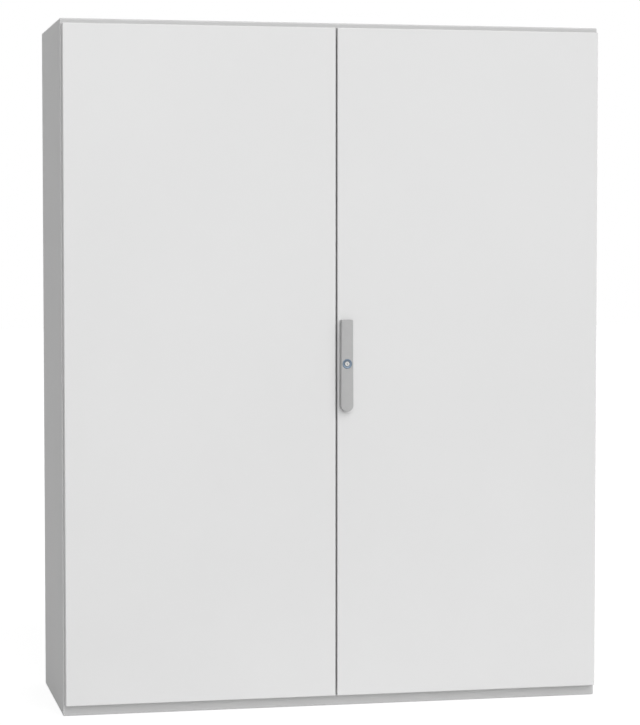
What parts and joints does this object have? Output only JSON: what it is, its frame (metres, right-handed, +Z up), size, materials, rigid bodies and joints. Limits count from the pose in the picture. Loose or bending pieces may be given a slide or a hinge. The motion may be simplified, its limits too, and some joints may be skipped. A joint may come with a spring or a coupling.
{
  "type": "floor-standing switchboard cabinet",
  "caption": "Floor-standing sheet-steel switchboard enclosure with paired front doors, swing handle, rod lock, mounting plate, gland plates and rear panel.",
  "frame": {"origin": "centre of the object's footprint on the floor, handle and rear panel included", "axes": "+Z up; the doors face -Y; +X is to the right for someone facing the doors"},
  "size_m": [1.6, 0.5764, 2],
  "materials": {
    "cabinet_paint": "fine-textured light grey powder coat",
    "door_paint": "fine-textured light grey powder coat, faces that catch the front light",
    "zinc_plate": "galvanised sheet with a fine spangle",
    "plated_steel": "bright zinc-plated steel",
    "seal_foam": "matt foamed seal",
    "handle_plastic": "fine-grained mid grey",
    "plug_plastic": "moulded grey",
    "nickel": "satin nickel"
  },
  "bodies": {
    "cabinet": {"body_shell": "cabinet_paint", "centre_post": "cabinet_paint", "gland_plate_centre": "zinc_plate", "gland_plate_left": "zinc_plate", "gland_plate_right": "zinc_plate", "hinge_bracket_left_lower": "cabinet_paint", "hinge_bracket_left_middle": "cabinet_paint", "hinge_bracket_left_upper": "cabinet_paint", "hinge_bracket_right_lower": "cabinet_paint", "hinge_bracket_right_middle": "cabinet_paint", "hinge_bracket_right_upper": "cabinet_paint", "hinge_pin_left_lower": "plated_steel", "hinge_pin_left_middle": "plated_steel", "hinge_pin_left_upper": "plated_steel", "hinge_pin_right_lower": "plated_steel", "hinge_pin_right_middle": "plated_steel", "hinge_pin_right_upper": "plated_steel", "keeper_bottom": "zinc_plate", "keeper_top": "zinc_plate", "mounting_plate": "zinc_plate", "plate_bolt_bottom_left": "plated_steel", "plate_bolt_bottom_right": "plated_steel", "plate_bolt_top_left": "plated_steel", "plate_bolt_top_right": "plated_steel", "plate_bracket_bottom_left": "zinc_plate", "plate_bracket_bottom_right": "zinc_plate", "plate_bracket_top_left": "zinc_plate", "plate_bracket_top_right": "zinc_plate", "rear_panel": "cabinet_paint", "roof_plug_front_left": "plated_steel", "roof_plug_front_right": "plated_steel", "roof_plug_rear_left": "plated_steel", "roof_plug_rear_right": "plated_steel"},
    "left_door": {"hinge_leaf_left_lower": "cabinet_paint", "hinge_leaf_left_middle": "cabinet_paint", "hinge_leaf_left_upper": "cabinet_paint", "left_bolt_guide_lower": "plug_plastic", "left_bolt_guide_upper": "plug_plastic", "left_door_frame": "zinc_plate", "left_door_gasket": "seal_foam", "left_door_panel": "door_paint"},
    "right_door": {"handle_base": "handle_plastic", "hinge_leaf_right_lower": "cabinet_paint", "hinge_leaf_right_middle": "cabinet_paint", "hinge_leaf_right_upper": "cabinet_paint", "lock_case": "zinc_plate", "right_door_frame": "zinc_plate", "right_door_gasket": "seal_foam", "right_door_panel": "door_paint", "rod_guide_lower": "plug_plastic", "rod_guide_upper": "plug_plastic"},
    "left_upper_bolt": {"left_bolt_upper": "zinc_plate"},
    "left_lower_bolt": {"left_bolt_lower": "zinc_plate"},
    "handle_hub": {"handle_spindle": "plated_steel", "lock_pinion": "plated_steel"},
    "upper_lock_rod": {"upper_rod": "zinc_plate"},
    "lower_lock_rod": {"lower_rod": "zinc_plate"},
    "swing_lever": {"handle_lever": "handle_plastic", "lever_pin": "plated_steel"},
    "key_cylinder": {"lock_insert": "nickel"}
  },
  "joints": [
    {"name": "left_door_hinge", "type": "hinge", "parent": "cabinet", "child": "left_door", "pos_m": [-0.7885, -0.25415, 1], "axis": [0, 0, -1], "range_deg": [0, 120]},
    {"name": "right_door_hinge", "type": "hinge", "parent": "cabinet", "child": "right_door", "pos_m": [0.7885, -0.25415, 1], "axis": [0, 0, 1], "range_deg": [0, 120]},
    {"name": "left_upper_bolt_slide", "type": "slide", "parent": "left_door", "child": "left_upper_bolt", "axis": [0, 0, -1], "range_m": [0, 0.02]},
    {"name": "left_lower_bolt_slide", "type": "slide", "parent": "left_door", "child": "left_lower_bolt", "axis": [0, 0, 1], "range_m": [0, 0.02]},
    {"name": "handle_turn", "type": "hinge", "parent": "right_door", "child": "handle_hub", "pos_m": [0.027, -0.26615, 1.114], "axis": [0, -1, 0], "range_deg": [0, 90]},
    {"name": "upper_rod_slide", "type": "slide", "parent": "right_door", "child": "upper_lock_rod", "axis": [0, 0, -1], "range_m": [0, 0.012]},
    {"name": "lower_rod_slide", "type": "slide", "parent": "right_door", "child": "lower_lock_rod", "axis": [0, 0, 1], "range_m": [0, 0.012]},
    {"name": "handle_lift", "type": "hinge", "parent": "handle_hub", "child": "swing_lever", "pos_m": [0.027, -0.28165, 1.126], "axis": [-1, 0, 0], "range_deg": [0, 25]},
    {"name": "key_turn", "type": "hinge", "parent": "swing_lever", "child": "key_cylinder", "pos_m": [0.027, -0.28815, 1.01], "axis": [0, -1, 0], "range_deg": [0, 90]}
  ],
  "couplings": [
    {"joint": "upper_rod_slide", "follows": "handle_turn", "m_per_rad": 0.0075},
    {"joint": "lower_rod_slide", "follows": "handle_turn", "m_per_rad": 0.0075}
  ]
}
